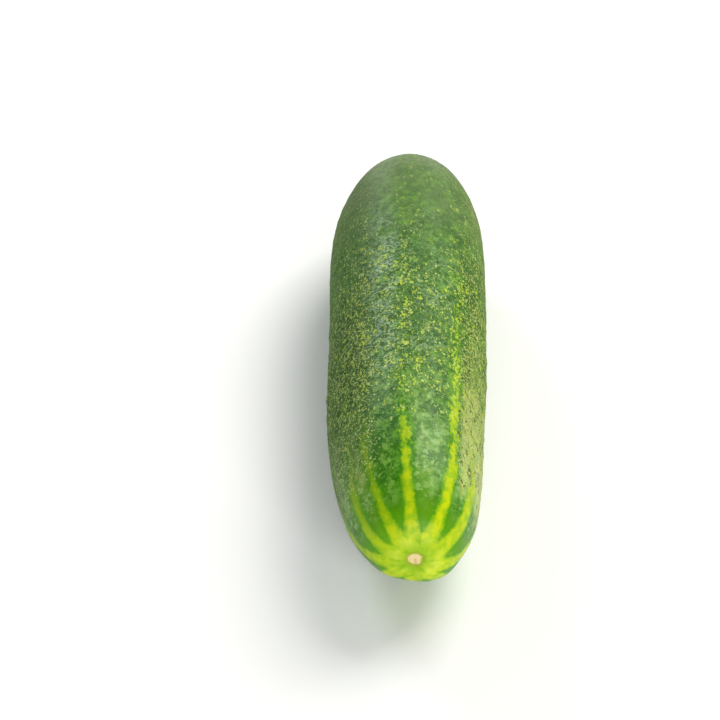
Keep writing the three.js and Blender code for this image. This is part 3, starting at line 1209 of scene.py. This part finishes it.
@dataclass
class Bristles:
    """The short stiff hairs that stand all over the skin."""

    fruit: Fruit
    count: int = 5200
    shortest: float = 0.3
    longest: float = 0.95
    root_radius: float = 0.075
    root_depth: float = 0.08
    lean: float = 0.35
    sides: int = 4
    belly_gap: float = 1.2  # none so close to what the fruit rests on
    seed: int = 23
    object: Object | None = field(default=None, init=False)

    def roots(self) -> tuple[Array, Array]:
        """Picks where the hairs stand.

        Returns:
            Their roots in mm and the skin's outward directions there.
        """
        mesh = self.fruit.object.data
        count = len(mesh.vertices)
        places, normals, along = np.empty(count * 3), np.empty(count * 3), np.empty(count)
        mesh.vertices.foreach_get("co", places)
        mesh.vertices.foreach_get("normal", normals)
        mesh.attributes[Field.ALONG.value].data.foreach_get("value", along)
        places, normals = places.reshape(-1, 3) / MM, normals.reshape(-1, 3)
        chance = (places[:, 2] > self.belly_gap) * swathe(along, 16.0, 42.0, 182.0, 194.0)
        draw = np.random.default_rng(self.seed)
        picks = draw.choice(count, self.count, replace=False, p=chance / chance.sum())
        return places[picks], normals[picks]

    def build(self) -> None:
        """Makes all the hairs as one mesh of slim cones."""
        roots, normals = self.roots()
        draw = np.random.default_rng(self.seed + 1)
        tilt = draw.normal(0.0, self.lean, roots.shape) + [0.0, -self.lean, 0.0]
        way = normals + tilt - normals * np.sum(normals * tilt, axis=1, keepdims=True)
        way /= np.linalg.norm(way, axis=1, keepdims=True)
        size = draw.uniform(self.shortest, self.longest, (self.count, 1))
        side = np.cross(way, [0.0, 0.0, 1.0])
        side /= np.linalg.norm(side, axis=1, keepdims=True) + TINY
        other = np.cross(way, side)
        start = roots - normals * self.root_depth
        rim = []
        for corner in range(self.sides):
            turn = 2.0 * math.pi * corner / self.sides
            rim.append(start + self.root_radius * (math.cos(turn) * side + math.sin(turn) * other))
        rim.append(start + way * size)
        points = np.stack(rim, axis=1).reshape(-1, 3)
        first = np.arange(self.count) * (self.sides + 1)
        tips = [np.column_stack([first + c, first + (c + 1) % self.sides, first + self.sides])
                for c in range(self.sides)]
        bottoms = np.column_stack([first + c for c in reversed(range(self.sides))])
        share = np.tile([0.0] * self.sides + [1.0], self.count)
        self.object = make_object("fruit_bristles", points, bottoms, np.vstack(tips), {Field.SPINE: share})

    def dress(self, effects: Effects) -> None:
        """Gives the hairs their finish and their place in the frame.

        Args:
            effects: The shared node groups.
        """
        self.object.data.materials.append(BristleFinish().material(effects))
        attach(self.object, "root")


@dataclass
class StemStub:
    """The short cut stem, five-ridged, with a flared foot and a dry cut face."""

    length: float = 11.0
    foot_radius: float = 4.2
    neck_radius: float = 2.7
    cut_radius: float = 2.9
    ridges: int = 5
    ridge_share: float = 0.07
    droop: float = 1.6
    hole: float = 0.05  # radius of the first and last ring
    foot_rings: int = 8
    rings: int = 90
    face_rings: int = 15
    round: int = 80
    seed: int = 5
    object: Object | None = field(default=None, init=False)

    def profile(self) -> Array:
        """Radius and distance from the foot of every ring, mm.

        Returns:
            One row for each ring, over the foot, along the side and over the cut face.
        """
        side = spline(np.array([
            (self.foot_radius, 0.0), (self.foot_radius * 0.93, 0.9),
            ((self.foot_radius + self.neck_radius) / 2.05, 2.2), (self.neck_radius, 4.6),
            ((self.neck_radius + self.cut_radius) / 2.04, self.length * 0.7), (self.cut_radius, self.length),
        ]), np.linspace(0.0, 1.0, self.rings))
        foot = np.linspace(self.hole, self.foot_radius, self.foot_rings, endpoint=False)
        face = np.linspace(self.cut_radius, self.hole, self.face_rings + 1)[1:]
        return np.vstack([np.column_stack([foot, np.zeros(self.foot_rings)]), side,
                          np.column_stack([face, np.full(self.face_rings, self.length)])])

    def build(self) -> None:
        """Makes the mesh where the CAD stub is."""
        profile = self.profile()
        count = len(profile)
        turn = np.tile(np.arange(self.round) * 2.0 * np.pi / self.round, count)
        radius, along = np.repeat(profile[:, 0], self.round), np.repeat(profile[:, 1], self.round)
        fresh = np.repeat(np.arange(count) >= self.foot_rings + self.rings, self.round).astype(float)
        share = along / self.length
        noise = LatticeNoise(self.seed)
        wide = radius * (1.0 + self.ridge_share * ease(share, 0.12, 0.4) * np.cos(self.ridges * turn))
        drawn = np.column_stack([wide * np.sin(turn), along * 0.3, wide * np.cos(turn)])
        wide = wide + 0.1 * noise.at(drawn, 0.8) * ease(radius, 0.5, 2.0)
        sunk = fresh * 0.35 * ease(radius, self.cut_radius, 1.2)
        rough = fresh * 0.14 * noise.at(drawn + 9.0, 0.5)
        points = np.column_stack([wide * np.sin(turn), along - sunk + rough,
                                  wide * np.cos(turn) - self.droop * share * share])
        low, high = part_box("stem_stub")
        middle = (points[:, 0].min() + points[:, 0].max()) / 2
        points += np.array([(low.x + high.x) / 2 / MM - middle, low.y / MM, low.z / MM - points[:, 2].min()])
        self.object = close_rings("stem_stub_body", count, points, {Field.RIM: fresh})

    def dress(self, effects: Effects) -> None:
        """Gives the stub its finish and its place in the frame.

        Args:
            effects: The shared node groups.
        """
        self.object.data.materials.append(StemFinish().material(effects))
        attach(self.object, "root")
        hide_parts("stem_stub")


# --- Studio ----------------------------------------------------------------


@dataclass(frozen=True)
class SoftLight:
    """One large soft light, aimed at the fruit."""

    name: str
    azimuth: float  # degrees from +Y towards +X
    elevation: float
    distance: float  # metres
    width: float
    height: float
    power: float
    tint: tuple[float, float, float] = (1.0, 1.0, 1.0)

    def place(self, target: Vector) -> None:
        """Adds the light to the scene.

        Args:
            target: The point it faces.
        """
        lamp = bpy.data.lights.new(self.name, "AREA")
        lamp.shape = "RECTANGLE"
        lamp.size, lamp.size_y, lamp.energy, lamp.color = self.width, self.height, self.power, self.tint
        made = bpy.data.objects.new(self.name, lamp)
        bpy.context.scene.collection.objects.link(made)
        turn, rise = math.radians(self.azimuth), math.radians(self.elevation)
        way = Vector((math.sin(turn) * math.cos(rise), math.cos(turn) * math.cos(rise), math.sin(rise)))
        made.location = target + way * self.distance
        made.rotation_euler = (-way).to_track_quat("-Z", "Y").to_euler()


@dataclass
class Studio:
    """Pale floor, soft lights, even surroundings and the camera."""

    floor_size: float = 12.0
    floor_gap: float = 0.00005  # below the fruit, metres
    elevation: float = 35.64
    distance: float = 0.6737
    lens: float = 110.0
    sensor: float = 36.0
    clip: tuple[float, float] = (0.01, 50.0)
    roll: float = 0.18
    aim_offset: tuple[float, float, float] = (-0.01529, -0.008475, -0.00036)
    surround: float = 0.21
    lights: tuple[SoftLight, ...] = (
        SoftLight("key", 38.0, 45.0, 1.3, 0.85, 0.75, 16.2, (1.0, 0.985, 0.94)),
        SoftLight("window", -28.0, 27.0, 1.2, 0.35, 0.3, 5.0, (0.9, 0.95, 1.0)),
        SoftLight("front", 170.0, 20.0, 1.2, 0.9, 0.5, 12.0),
    )

    def build(self) -> None:
        """Makes the floor, the lights, the surroundings and the camera."""
        low, high = CAD_BOX
        half = self.floor_size / 2.0
        corners = np.array([(-half, -half, 0.0), (half, -half, 0.0), (half, half, 0.0), (-half, half, 0.0)])
        floor = make_object("floor", corners / MM, np.array([[0, 1, 2, 3]]))
        floor.location.z = low.z - self.floor_gap
        floor.data.materials.append(FloorFinish().material())
        for light in self.lights:
            light.place((low + high) / 2.0)
        world = bpy.data.worlds.new("studio")
        bpy.context.scene.world = world
        world.use_nodes = True
        background = world.node_tree.nodes["Background"]
        background.inputs["Color"].default_value = (1.0, 1.0, 1.0, 1.0)
        background.inputs["Strength"].default_value = self.surround
        bpy.context.scene.view_settings.view_transform = "Standard"
        fruit_low, fruit_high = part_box("fruit")
        self.camera((fruit_low + fruit_high) / 2.0 + Vector(self.aim_offset))

    def camera(self, aim: Vector) -> None:
        """Places the camera above and in front of the blossom end.

        Args:
            aim: The point in the middle of the frame.
        """
        data = bpy.data.cameras.new("camera")
        data.lens, data.sensor_width = self.lens, self.sensor
        data.clip_start, data.clip_end = self.clip
        made = bpy.data.objects.new("camera", data)
        bpy.context.scene.collection.objects.link(made)
        rise = math.radians(self.elevation)
        back = Vector((0.0, -math.cos(rise), math.sin(rise)))
        made.location = aim + back * self.distance
        roll = Quaternion((0.0, 0.0, 1.0), -math.radians(self.roll))
        made.rotation_euler = ((-back).to_track_quat("-Z", "Y") @ roll).to_euler()
        bpy.context.scene.camera = made


def main() -> None:
    """Builds the cucumber and the studio, and logs each piece's face count."""
    logging.basicConfig(level=logging.INFO, format="%(message)s")
    Studio().build()
    effects = Effects.build()
    fruit = Fruit()
    for piece in (fruit, Bristles(fruit), StemStub()):
        piece.build()
        piece.dress(effects)
        LOG.info("%s: %d faces", piece.object.name, len(piece.object.data.polygons))


if __name__ == "__main__":
    main()
